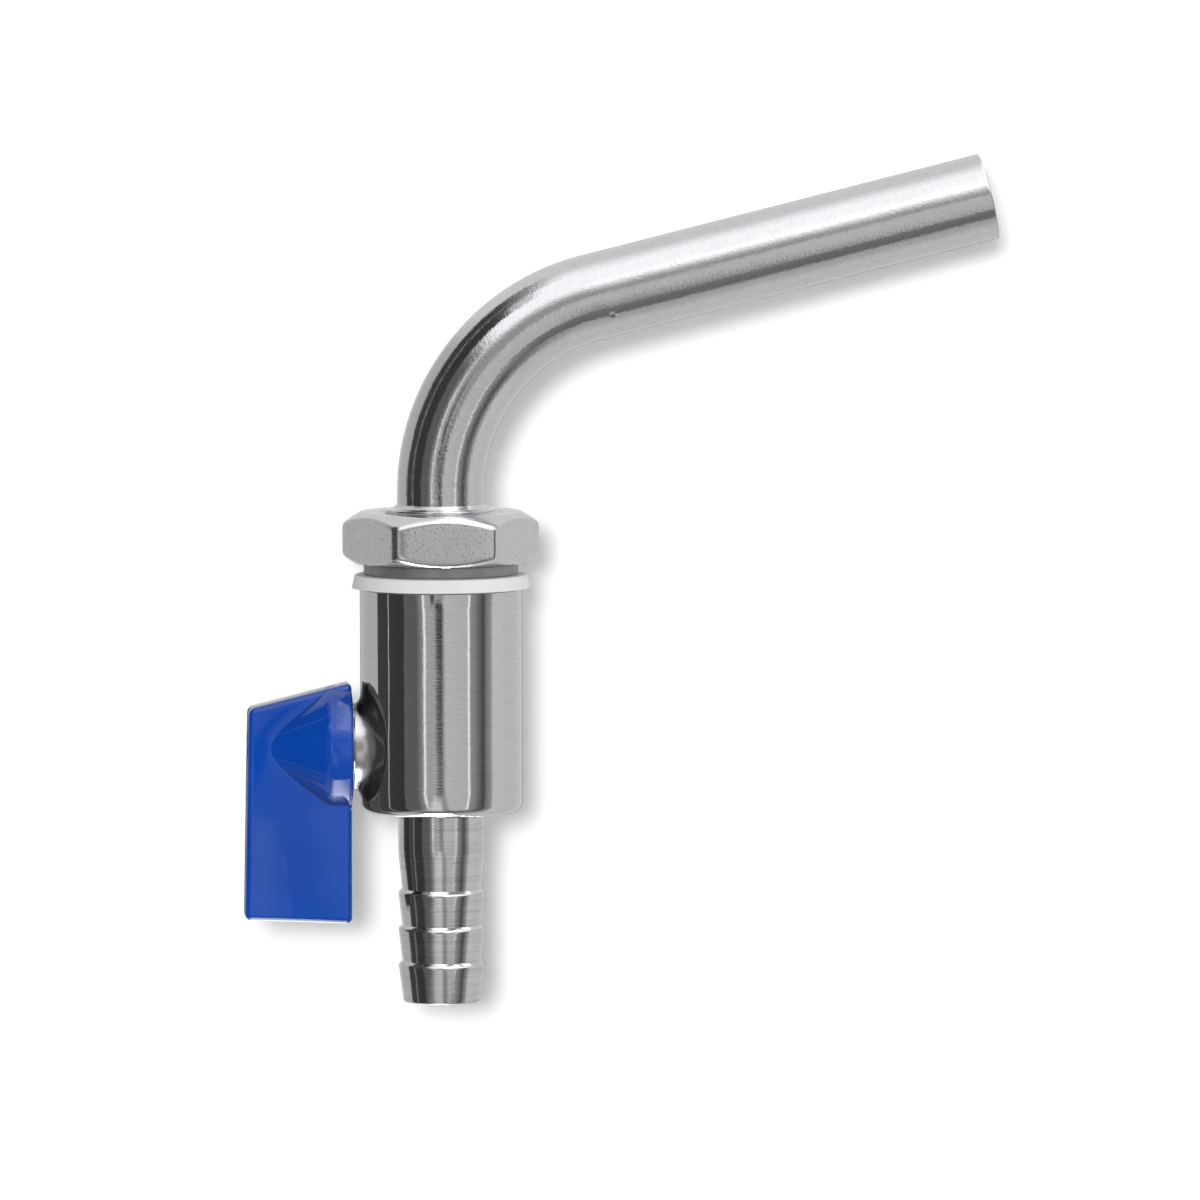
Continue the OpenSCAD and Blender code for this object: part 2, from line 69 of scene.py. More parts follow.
BARB_R, BARB_ROOT_R, TAIL_END = 6, 5.48, -57.3

# More that follow the CAD's, in metres and radians
STEM_Z = -21.9 * MM
BEND_Z = 13.2 * MM
SOCKET_Z = TUBE_FOOT * MM
THREAD_PITCH = 1.337 * MM
BEND_ANGLE = math.radians(76)

# The photograph: its width, and how far its middle lies right of and below the tap's origin
PHOTO_PIXELS, MIDDLE_RIGHT, MIDDLE_BELOW = 1200, 159, 13


# Settings that a user may change


def length_setting(name, description, millimetres):
    return FloatProperty(
        name=name, description=description, default=millimetres * MM, unit="LENGTH")


def angle_setting(name, description, degrees):
    return FloatProperty(
        name=name, description=description, default=math.radians(degrees), unit="ROTATION")


def strength_setting(name, description, default):
    return FloatProperty(name=name, description=description, default=default, min=0)


def color_setting(name, description, default):
    return FloatVectorProperty(
        name=name, description=description, default=default, subtype="COLOR", size=3,
        min=0, max=1)


class TapSizes(bpy.types.PropertyGroup):
    """Sizes of the tap's visible details"""

    round_steps: IntProperty(
        name="Round steps", description="Faces round each turned piece", default=160, min=24)
    body_edge: length_setting("Body edge", "Radius round the body's lower edge", 1.3)
    fillet_reach: length_setting("Boss fillet", "Reach of the fillet at the boss's root", 2)
    nut_edge: length_setting("Nut edge", "Rounding of the nut's tumbled edges", 0.35)
    wing_edge: length_setting("Wing edge", "Radius round the edges of the handle's wing", 0.85)
    dent_depth: length_setting("Bend dent", "Depth of the small dent after the bend", 0.08)
    barb_edge: length_setting("Barb edge", "Radius of the polished edge of each barb", 0.24)


class TapFinish(bpy.types.PropertyGroup):
    """Colours of the tap's finishes"""

    steel: color_setting("Steel", "Colour of the polished steel", (0.58, 0.585, 0.6))
    grey_steel: color_setting("Grey steel", "Colour of the flat washer", (0.3, 0.305, 0.315))
    braze: color_setting("Braze", "Colour of the filler metal", (0.62, 0.62, 0.63))
    gasket: color_setting("Gasket", "Colour of the white gasket", (0.7, 0.7, 0.705))
    blue: color_setting("Blue", "Colour of the handle's plastic", (0.001, 0.058, 0.385))
    ptfe: color_setting("PTFE", "Colour of the seats and thrust washer", (0.83, 0.83, 0.81))
    rubber: color_setting("Rubber", "Colour of the O-rings", (0.02, 0.02, 0.021))


class StudioSettings(bpy.types.PropertyGroup):
    """Camera, floor and light"""

    azimuth: angle_setting("Azimuth", "Camera's turn round the tap, 0 looks along +Y", -4)
    elevation: angle_setting("Elevation", "Camera's height above the horizon", 4.4)
    roll: angle_setting("Roll", "Camera's turn about its own line of sight", 0.13)
    distance: length_setting("Distance", "Camera's distance", 1600)
    view_width: length_setting("View width", "Width of the view at the tap", 165.5)
    floor_gap: length_setting("Floor", "Distance of the white table from the tap's axis", 29)
    floor_turn: angle_setting(
        "Floor turn", "Turn of the white table about the upright axis", -6)
    ambient: strength_setting("Ambient", "Strength of the even light from all round", 0.3)
    key: strength_setting("Key", "Strength of the soft light from the upper left", 2.6)
    fill: strength_setting("Fill", "Strength of the soft light from the right", 1.4)
    key_softness: angle_setting("Key softness", "Angle that the key light's core fills", 6.5)
    key_offset: angle_setting(
        "Key offset", "Angle from the camera to the key light, left and up", 3.5)


# Studio cards, which only the polished metal and the plastic reflect. Each row has the name,
# the angles from the camera's direction, the clock angles from straight up over the right,
# and the brightness at the inner and outer angle. Angles are in degrees. A card hides those
# above it in the table.
CARDS = (
    ("tent_front", 0, 100, 0, 360, 0.46, 0.46),
    ("tent_rear", 100, 180, 0, 360, 0.78, 0.78),
    ("tent_rear_top", 100, 150, -60, 60, 0.95, 0.9),
    ("tent_rear_left", 102, 150, 220, 318, 0.64, 0.64),
    ("rear_flag", 166, 175, 50, 310, 0.16, 0.16),
    ("top_softbox_edge", 12, 34, -50, 72, 0.48, 1.6),
    ("top_softbox", 34, 72, -50, 72, 1.6, 1.6),
    ("top_softbox_rear", 72, 100, -28, 72, 1.5, 1.0),
    ("top_light", 32, 110, 1, 40, 3.4, 3.0),
    ("low_panel", 12, 42, 130, 222, 0.46, 0.24),
    ("low_middle", 14, 38, 171, 226, 0.95, 0.7),
    ("right_panel", 5, 40, 50, 156, 0.76, 0.7),
    ("low_shade", 42, 62, 130, 222, 0.24, 0.2),
    ("low_paper", 64, 100, 130, 222, 0.55, 0.8),
    ("right_flag", 42.5, 66, 66, 140, 0.42, 0.1),
    ("right_grey", 66, 74, 66, 150, 0.26, 0.36),
    ("right_paper", 78, 100, 60, 140, 0.82, 0.82),
    ("right_line", 40.5, 42.3, 66, 132, 1.9, 1.9),
    ("left_panel", 5, 24, 222, 300, 0.62, 0.56),
    ("left_line", 24, 25.8, 222, 314, 1.9, 1.9),
    ("left_shade", 26, 37, 222, 314, 0.4, 0.16),
    ("left_grey", 37, 54, 222, 316, 0.16, 0.17),
    ("left_flag", 54, 102, 222, 334, 0.056, 0.075),
    ("left_thin_line", 79.5, 80.8, 222, 334, 0.75, 0.75),
    ("camera_gap", 5.5, 11, 158, 236, 0.09, 0.09),
    ("camera_arm", 9, 15, 236, 300, 0.12, 0.12),
    ("low_light", 66, 150, 168, 197, 7.0, 8.0),
)
# Distance of the first card, the step in to each next one, and the degrees that its ends fade
CARD_DISTANCE = 2.4
CARD_STEP = 0.03
CARD_FADE = 10


# Mesh helpers


def closed_loop(bm, points):
    """Adds a closed loop of edges in the XZ plane, from (radius, height) in mm."""
    verts = [bm.verts.new((r * MM, 0, z * MM)) for r, z in points]
    for i, vert in enumerate(verts):
        bm.edges.new((vert, verts[(i + 1) % len(verts)]))
    return verts


def bevel(bm, geom, width, segments, kind="EDGES"):
    bmesh.ops.bevel(
        bm, geom=geom, offset=width, offset_type="OFFSET", segments=segments, profile=0.5,
        affect=kind, material=-1, clamp_overlap=True)


def face_out(bm):
    bmesh.ops.recalc_face_normals(bm, faces=bm.faces)


def ring_section(corners):
    """A closed half section in the XZ plane, from (radius, height, corner radius) in mm."""
    bm = bmesh.new()
    verts = closed_loop(bm, [corner[:2] for corner in corners])
    for vert, corner in zip(verts, corners):
        if len(corner) > 2:
            bevel(bm, [vert], corner[2] * MM, 6, "VERTICES")
    return bm


def split_long_edges(bm, longest):
    """Splits the edges of a section that are longer than the given length."""
    for edge in list(bm.edges):
        cuts = int(edge.calc_length() / longest)
        if cuts:
            bmesh.ops.subdivide_edges(bm, edges=[edge], cuts=cuts)


def spin_round(bm, steps):
    """Spins a section right round the Z axis."""
    bmesh.ops.spin(
        bm, geom=bm.verts[:] + bm.edges[:], cent=(0, 0, 0), axis=AXIS_Z, dvec=(0, 0, 0),
        angle=FULL_TURN, steps=steps, use_merge=True)
    face_out(bm)
    return bm


def turned(corners, steps, longest=None):
    """A turned solid, from its closed half section."""
    bm = ring_section(corners)
    if longest:
        split_long_edges(bm, longest)
    return spin_round(bm, steps)


def spin_part(points, angle_from, angle_to, steps, rise=0.0):
    """Spins a small closed section part of the way round, or up a screw, and caps its ends."""
    bm = bmesh.new()
    verts = closed_loop(bm, points)
    bmesh.ops.rotate(
        bm, verts=bm.verts, cent=(0, 0, 0), matrix=Matrix.Rotation(angle_from, 3, "Z"))
    made = bmesh.ops.spin(
        bm, geom=bm.verts[:] + bm.edges[:], cent=(0, 0, 0), axis=AXIS_Z,
        dvec=(0, 0, rise / steps), angle=angle_to - angle_from, steps=steps, use_merge=False)
    for cap in (verts, only(bmesh.types.BMVert, made["geom_last"])):
        bmesh.ops.contextual_create(bm, geom=cap)
    face_out(bm)
    return bm


def only(kind, geom):
    """The parts of a mesh that are of one kind."""
    return [part for part in geom if isinstance(part, kind)]


def new_object(name, bm, material=None):
    """Makes an object of a mesh, which it frees."""
    mesh = bpy.data.meshes.new(name)
    bm.to_mesh(mesh)
    bm.free()
    if material:
        mesh.materials.append(material)
    obj = bpy.data.objects.new(name, mesh)
    bpy.context.scene.collection.objects.link(obj)
    return obj


def add(bm, other, matrix=None):
    """Adds another mesh, turned and moved, as loose forms of the same piece."""
    if matrix is not None:
        other.transform(matrix)
    held = bpy.data.meshes.new("held")
    other.to_mesh(held)
    other.free()
    bm.from_mesh(held)
    bpy.data.meshes.remove(held)


def cut(bm, cutter, operation="DIFFERENCE"):
    """Cuts one mesh by another, or joins them, and frees both."""
    made = [new_object("cut", part) for part in (bm, cutter)]
    modifier = made[0].modifiers.new("cut", "BOOLEAN")
    modifier.operation = operation
    modifier.solver = "EXACT"
    modifier.object = made[1]
    bpy.context.view_layer.update()
    shaped = made[0].evaluated_get(bpy.context.evaluated_depsgraph_get())
    result = bmesh.new()
    result.from_mesh(shaped.data)
    for obj in made:
        mesh = obj.data
        bpy.data.objects.remove(obj)
        bpy.data.meshes.remove(mesh)
    return result


def limit_radius(bm, largest):
    """Moves each vertex in to the largest radius at its height, which a function gives."""
    for vert in bm.verts:
        radius = math.hypot(vert.co.x, vert.co.y)
        top = largest(vert.co.z)
        if radius > top:
            vert.co.x *= top / radius
            vert.co.y *= top / radius


def settings_of(context):
    return context.scene.tap_sizes, context.scene.tap_finish


def make_piece(name, bm, body, nodes, material, sharp=32):
    """Makes the finished piece of a mesh, in place of its CAD nodes."""
    piece = new_object(name, bm, material)
    piece.data.shade_smooth()
    piece.data.set_sharp_from_angle(angle=math.radians(sharp))
    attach(piece, body)
    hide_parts(*nodes)
    return piece


# Turns a form that was spun round Z onto the stem's axis, pointing outwards to -X
STEM_AXIS = Matrix.Translation((0, 0, STEM_Z)) @ Matrix.Rotation(-math.pi / 2, 4, "Y")


# Shader helpers


def place(tree, kind, **inputs):
    """Adds a shader node and sets its inputs by name."""
    node = tree.nodes.new("ShaderNode" + kind)
    for name, value in inputs.items():
        node.inputs[name.replace("_", " ")].default_value = value
    return node


def reckon(tree, operation, kind="Math"):
    """Adds a Math or Vector Math node."""
    node = place(tree, kind)
    node.operation = operation
    return node


def color_mix(tree, **colors):
    """Adds a Mix node for colours, and sets them by name."""
    node = place(tree, "Mix")
    node.data_type = "RGBA"
    for name, color in colors.items():
        node.inputs[name].default_value = (*color, 1)
    return node


def wire(tree, *pairs):
    """Links each output to an input."""
    for start, end in pairs:
        tree.links.new(start, end)


def new_group(name, output, **numbers):
    """An empty shader group with a vector, some numbers and one output."""
    group = bpy.data.node_groups.new(name, "ShaderNodeTree")
    group.interface.new_socket(
        name="Vector", in_out="INPUT", socket_type="NodeSocketVector")
    for label, default in numbers.items():
        group.interface.new_socket(
            name=label.replace("_", " "), in_out="INPUT",
            socket_type="NodeSocketFloat").default_value = default
    group.interface.new_socket(name=output, in_out="OUTPUT", socket_type="NodeSocketFloat")
    given = group.nodes.new("NodeGroupInput").outputs
    result = group.nodes.new("NodeGroupOutput").inputs[output]
    return group, given, result


def turning_marks_group():
    """Fine lines round the Z axis, as a lathe and a polishing belt leave them."""
    group, given, height = new_group("turning_marks", "Height", Lines=6000.0, Around=60.0)
    stretch = place(group, "CombineXYZ")
    scaled = reckon(group, "MULTIPLY", "VectorMath")
    noise = place(group, "TexNoise", Scale=1.0, Detail=4.0, Roughness=0.62)
    wire(group,
         (given["Around"], stretch.inputs["X"]),
         (given["Around"], stretch.inputs["Y"]),
         (given["Lines"], stretch.inputs["Z"]),
         (given["Vector"], scaled.inputs[0]),
         (stretch.outputs[0], scaled.inputs[1]),
         (scaled.outputs[0], noise.inputs["Vector"]),
         (noise.outputs["Fac"], height))
    return group


def orange_peel_group():
    """The low, soft waviness of polished sheet and tube."""
    group, given, height = new_group(
        "orange_peel", "Height", Scale=1500.0, Waves=240.0, Wave_Height=1.6)
    fine = place(group, "TexNoise", Detail=2.5, Roughness=0.55)
    wide = place(group, "TexNoise", Detail=1.0)
    both = reckon(group, "MULTIPLY_ADD")
    wire(group,
         (given["Vector"], fine.inputs["Vector"]),
         (given["Scale"], fine.inputs["Scale"]),
         (given["Vector"], wide.inputs["Vector"]),
         (given["Waves"], wide.inputs["Scale"]),
         (wide.outputs["Fac"], both.inputs[0]),
         (given["Wave Height"], both.inputs[1]),
         (fine.outputs["Fac"], both.inputs[2]),
         (both.outputs[0], height))
    return group


def smudges_group():
    """Roughness that drifts between two values, as handling leaves it."""
    group, given, roughness = new_group(
        "smudges", "Roughness", Scale=120.0, Clean=0.08, Dull=0.16)
    noise = place(group, "TexNoise", Detail=5.0, Roughness=0.6)
    drift = place(group, "MapRange", From_Min=0.35, From_Max=0.7)
    wire(group,
         (given["Vector"], noise.inputs["Vector"]),
         (given["Scale"], noise.inputs["Scale"]),
         (noise.outputs["Fac"], drift.inputs["Value"]),
         (given["Clean"], drift.inputs["To Min"]),
         (given["Dull"], drift.inputs["To Max"]),
         (drift.outputs["Result"], roughness))
    return group


def pits_group():
    """Scattered small pits, as on bar stock that is only lightly polished."""
    group, given, height = new_group("pits", "Height", Scale=900.0, Share=0.35, Size=0.22)
    cells = place(group, "TexVoronoi", Randomness=1.0)
    bowl = place(group, "MapRange")
    chosen = reckon(group, "LESS_THAN")
    flat = reckon(group, "SUBTRACT")
    flat.inputs[0].default_value = 1.0
    higher = reckon(group, "MAXIMUM")
    wire(group,
         (given["Vector"], cells.inputs["Vector"]),
         (given["Scale"], cells.inputs["Scale"]),
         (cells.outputs["Distance"], bowl.inputs["Value"]),
         (given["Size"], bowl.inputs["From Max"]),
         (cells.outputs["Color"], chosen.inputs[0]),
         (given["Share"], chosen.inputs[1]),
         (chosen.outputs[0], flat.inputs[1]),
         (bowl.outputs["Result"], higher.inputs[0]),
         (flat.outputs[0], higher.inputs[1]),
         (higher.outputs[0], height))
    return group


GROUP_MAKERS = {
    "turning_marks": turning_marks_group,
    "orange_peel": orange_peel_group,
    "smudges": smudges_group,
    "pits": pits_group,
}


def effect(tree, coordinates, name, values):
    """Places a shared effect in a material, with its own values."""
    node = tree.nodes.new("ShaderNodeGroup")
    node.node_tree = bpy.data.node_groups.get(name) or GROUP_MAKERS[name]()
    for label, value in values.items():
        node.inputs[label.replace("_", " ")].default_value = value
    tree.links.new(coordinates, node.inputs["Vector"])
    return node


def peel(scale, waves, wave_height=1.6):
    return "orange_peel", dict(Scale=scale, Waves=waves, Wave_Height=wave_height)


def pits(scale, share, size=0.22):
    return "pits", dict(Scale=scale, Share=share, Size=size)


BELT_LINES = ("turning_marks", dict(Lines=4200, Around=260))
LATHE_LINES = ("turning_marks", dict(Lines=3400, Around=90))
NUT_PITS = pits(1900, 0.42, 0.26)
BALL_GRAIN = peel(900, 300)
STEM_GRAIN = peel(3500, 900)
RUBBER_GRAIN = peel(4000, 900)
STEEL = dict(color="steel", Metallic=1)

# The finishes. smudge is (scale, clean, dull). tint is (output low and high, the share of the
# colour left at the low, effect, its values). Each relief is (depth in metres, effect, its
# values). What begins with a capital is set on the shader itself.
FINISHES = {
    "body_steel": dict(
        STEEL, smudge=(90, 0.03, 0.065), tint=(0.3, 0.6, 0.92, *BELT_LINES),
        reliefs=[(5e-6, *peel(800, 150, 6)), (7e-6, *BELT_LINES)]),
    "tail_steel": dict(
        STEEL, smudge=(160, 0.06, 0.13), tint=(0.35, 0.6, 0.84, *LATHE_LINES),
        reliefs=[(4e-6, *peel(900, 200, 3)), (1.6e-5, *LATHE_LINES)]),
    "tube_steel": dict(
        STEEL, smudge=(130, 0.06, 0.15), tint=(0.45, 0.85, 0.9, *peel(3400, 900, 0.5)),
        reliefs=[(1.8e-5, *peel(2600, 240, 1.2)), (3e-6, *pits(2600, 0.2))]),
    "nut_steel": dict(
        STEEL, smudge=(220, 0.12, 0.22), tint=(0, 1, 0.3, *NUT_PITS),
        reliefs=[(1.6e-5, *peel(3600, 500)), (2e-5, *NUT_PITS)]),
    "washer_steel": dict(
        color="grey_steel", Metallic=0.7, smudge=(300, 0.45, 0.58),
        tint=(0.9, 1.7, 0.84, *peel(3600, 500)), reliefs=[(1.6e-5, *peel(2600, 600))]),
    "braze": dict(
        color="braze", Metallic=1, smudge=(400, 0.12, 0.24),
        tint=(0.8, 1.6, 0.8, *peel(1500, 400)), reliefs=[(6e-5, *peel(700, 260))]),
    "gasket": dict(
        color="gasket", smudge=(260, 0.42, 0.55),
        tint=(0.9, 1.6, 0.94, *peel(700, 120)), reliefs=[(1.2e-5, *peel(2200, 300))]),
    "blue_plastic": dict(
        color="blue", IOR=1.46, Coat_Weight=0.12, Coat_Roughness=0.04,
        smudge=(110, 0.05, 0.11),
        tint=(0.9, 1.6, 0.88, *peel(260, 60)), reliefs=[(6e-6, *peel(420, 110))]),
    "ptfe": dict(
        color="ptfe", smudge=(500, 0.38, 0.5),
        tint=(0.9, 1.6, 0.93, *peel(1500, 300)), reliefs=[(6e-6, *peel(3000, 500))]),
    "ball_steel": dict(
        STEEL, smudge=(200, 0.04, 0.09),
        tint=(0.9, 1.7, 0.94, *BALL_GRAIN), reliefs=[(2e-6, *BALL_GRAIN)]),
    "stem_steel": dict(
        STEEL, smudge=(400, 0.14, 0.26),
        tint=(0.8, 1.7, 0.8, *STEM_GRAIN), reliefs=[(6e-6, *STEM_GRAIN)]),
    "oring_rubber": dict(
        color="rubber", smudge=(600, 0.45, 0.6),
        tint=(0.8, 1.7, 0.6, *RUBBER_GRAIN), reliefs=[(6e-6, *RUBBER_GRAIN)]),
    "screw_steel": dict(
        STEEL, smudge=(500, 0.18, 0.3),
        tint=(0, 1, 0.7, *pits(5000, 0.3)), reliefs=[(8e-6, *peel(2600, 700))]),
}


def finish(name, colors):
    """Makes one finish of the table above."""
    row = dict(FINISHES[name])
    color = getattr(colors, row.pop("color"))
    scale, clean, dull_and_painted_shade = row.pop("smudge")
    low, high, left, kind, values = row.pop("tint")
    reliefs = row.pop("reliefs")
    material = bpy.data.materials.new(name)
    material.use_nodes = True
    tree = material.node_tree
    shader = tree.nodes["Principled BSDF"].inputs
    shader["Base Color"].default_value = (*color, 1)
    for label, value in row.items():
        shader[label.replace("_", " ")].default_value = value
    coordinates = place(tree, "TexCoord").outputs["Object"]
    marks = effect(tree, coordinates, kind, values)
    spread = place(tree, "MapRange", From_Min=low, From_Max=high)
    shade = color_mix(tree, A=[left * c for c in color], B=color)
    drift = effect(tree, coordinates, "smudges", dict(Scale=scale, Clean=clean, Dull=dull_and_painted_shade))
    wire(tree,
         (marks.outputs[0], spread.inputs["Value"]),
         (spread.outputs["Result"], shade.inputs["Factor"]),
         (shade.outputs["Result"], shader["Base Color"]),
         (drift.outputs["Roughness"], shader["Roughness"]))
    normal = shader["Normal"]
    for depth, kind, values in reversed(reliefs):
        relief = effect(tree, coordinates, kind, values)
        bump = place(tree, "Bump", Strength=1, Distance=depth)
        wire(tree,
             (relief.outputs["Height"], bump.inputs["Height"]),
             (bump.outputs["Normal"], normal))
        normal = bump.inputs["Normal"]
    return material


def body_finish(colors):
    """Belt-polished steel, left satin on the boss, which the belt can't reach, and with
    painted
    shade: its colour is darkened in the corner between the boss's rim and the handle."""
    material = finish("body_steel", colors)
    tree = material.node_tree
    shader = tree.nodes["Principled BSDF"].inputs
    polished = shader["Roughness"].links[0].from_socket
    clean = shader["Base Color"].links[0].from_socket
    where = place(tree, "TexCoord").outputs["Object"]
    # Distance from the middle of the boss's face, with X stretched
    stretch = 1.7
    mapped = place(tree, "Mapping", Location=(12.2 * MM * stretch, 0, -STEM_Z),
                   Scale=(stretch, 0, 1))
    away = reckon(tree, "LENGTH", "VectorMath")
    inside, outside = 4.5 * MM, 5.3 * MM
    satin = place(tree, "MapRange", From_Min=outside, From_Max=inside, To_Max=0.25)
    rim = place(tree, "MapRange", From_Min=inside, From_Max=outside)
    rougher = reckon(tree, "MAXIMUM")
    # Painted shade: near the boss's rim on the handle's side, the colour is mixed towards near
    # black
    split = place(tree, "SeparateXYZ")
    corner = place(tree, "MapRange", From_Min=-10.9 * MM, From_Max=-11.5 * MM)
    dull_and_painted_shade = reckon(tree, "MULTIPLY")
    shade = color_mix(tree, B=(0.05, 0.05, 0.052))
    wire(tree,
         (where, mapped.inputs["Vector"]),
         (mapped.outputs[0], away.inputs[0]),
         (away.outputs["Value"], satin.inputs["Value"]),
         (away.outputs["Value"], rim.inputs["Value"]),
         (satin.outputs["Result"], rougher.inputs[0]),
         (polished, rougher.inputs[1]),
         (rougher.outputs[0], shader["Roughness"]),
         (where, split.inputs[0]),
         (split.outputs["X"], corner.inputs["Value"]),
         (corner.outputs["Result"], dull_and_painted_shade.inputs[0]),
         (rim.outputs["Result"], dull_and_painted_shade.inputs[1]),
         (dull_and_painted_shade.outputs[0], shade.inputs["Factor"]),
         (clean, shade.inputs["A"]),
         (shade.outputs["Result"], shader["Base Color"]))
    return material


def blue_finish(colors):
    """Glossy moulded plastic. Polished metal and the white table near it take no blue from
    it, as in the photograph."""
    material = finish("blue_plastic", colors)
    tree = material.node_tree
    color = tree.nodes["Principled BSDF"].inputs["Base Color"]
    mirrored = color_mix(tree, B=(0.1, 0.102, 0.106))
    path = place(tree, "LightPath")
    either = reckon(tree, "MAXIMUM")
    wire(tree,
         (path.outputs["Is Glossy Ray"], either.inputs[0]),
         (path.outputs["Is Diffuse Ray"], either.inputs[1]),
         (either.outputs[0], mirrored.inputs["Factor"]),
         (color.links[0].from_socket, mirrored.inputs["A"]),
         (mirrored.outputs["Result"], color))
    return material


# Pieces


def screw_ridge(root, crest, half, z_from, z_to, sink=0.06):
    """A thread's ridge, in mm: a triangle sunk in the root, wound up from z_from to z_to."""
    turns = (z_to - z_from) * MM / THREAD_PITCH
    steps_per_turn = 96
    steps = int(steps_per_turn * turns)
    return spin_part(
        [(root - sink, z_from - half), (root - sink, z_from + half), (crest, z_from)],
        0, FULL_TURN * turns, steps, rise=(z_to - z_from) * MM)


def boss_form(sizes):
    """The boss with its root fillet: each row runs from the round body out to the boss."""
    sink, steps, rows = 0.03, 128, 12
    reach = sizes.fillet_reach / MM
    foot_r = BOSS_R + reach
    # The rows start a metre apart, which tells them from the rest of the section
    section = [(foot_r, row / MM) for row in range(rows + 1)]
    section += [(3.9, BOSS_FACE), (3.9, 13.6), (STEM_HOLE_R, 13.6), (STEM_HOLE_R, 7.6),
                (4.1, 7.6)]
    bm = spin_round(ring_section(section), steps)

    def body_x(y):
        return math.sqrt((BODY_R - sink) ** 2 - y * y)

    for vert in bm.verts:
        if vert.co.z < 1.0 and abs(math.hypot(vert.co.x, vert.co.y) - foot_r * MM) > 1e-7:
            continue
        row = round(vert.co.z)
        a = math.atan2(vert.co.y, vert.co.x) + math.pi / 2
        t = row / rows
        y = foot_r * math.cos(a)
        foot_x = body_x(y)
        knee_x = min(foot_x + y * math.cos(a) / foot_x * reach, BOSS_FACE - 0.2)
        along = (1 - t) ** 2 * foot_x + 2 * t * (1 - t) * knee_x + t * t * BOSS_FACE
        radius = (1 - t) ** 2 * foot_r + (1 - (1 - t) ** 2) * (BOSS_R - sink)
        vert.co = Vector((radius * math.sin(a), radius * -math.cos(a), along)) * MM
    face_out(bm)
    return bm


class SAMPLETAP_OT_valve_body(bpy.types.Operator):
    """Turned valve body with its bores, boss, stop lug and threaded shank"""

    bl_idname = "sampletap.valve_body"
    bl_label = "Valve body"

    def execute(self, context):
        sizes, colors = settings_of(context)
        bm = turned([
            (HEAD_HOLE_R, BODY_FOOT), (BODY_R, BODY_FOOT, sizes.body_edge / MM),
            (BODY_R, 0, 0.25), (SHANK_ROOT_R, 0, 0.15), (SHANK_ROOT_R, 10.1),
            (SHANK_END_R, 10.35), (SHANK_END_R, SHANK_TOP, 0.15), (6.05, SHANK_TOP),
            (6.05, TUBE_FOOT), (FLOW_R, TUBE_FOOT), (FLOW_R, -14.88), (CHAMBER_R, -14.88),
            (CHAMBER_R, -25.5), (HEAD_NOSE_HOLE_R, -25.5), (HEAD_NOSE_HOLE_R, -27.3),
            (HEAD_HOLE_R, -27.3)], sizes.round_steps, longest=2.2 * MM)
        stem_bore = turned([
            (0.01, 6), (COLLAR_HOLE_R, 6), (COLLAR_HOLE_R, 8.72), (STEM_HOLE_R, 8.72),
            (STEM_HOLE_R, 13), (0.01, 13)], 64)
        stem_bore.transform(STEM_AXIS)
        bm = cut(bm, stem_bore)
        add(bm, boss_form(sizes), STEM_AXIS)
        lug = spin_part([(2.7, 11.95), (5.4, 11.95), (5.4, 13.6), (2.7, 13.6)],
                        math.radians(-30), math.radians(30), 20)
        add(bm, lug, STEM_AXIS)
        ridge = screw_ridge(SHANK_ROOT_R, SHANK_CREST_R, 0.56, THREAD_FROM, THREAD_TO)
        # The ridge fades in over its first turn and ends in a chamfer
        crest, fade_r, chamfer_z = SHANK_CREST_R * MM, 7.45 * MM, 10.2 * MM
        limit_radius(ridge, lambda z: min(
            crest, fade_r + max(0, z - THREAD_PITCH), crest - max(0, z - chamfer_z)))
        add(bm, ridge)
        make_piece("valve_body_polished", bm, "valve", ["valve_body"],
                   body_finish(colors))
        return {"FINISHED"}


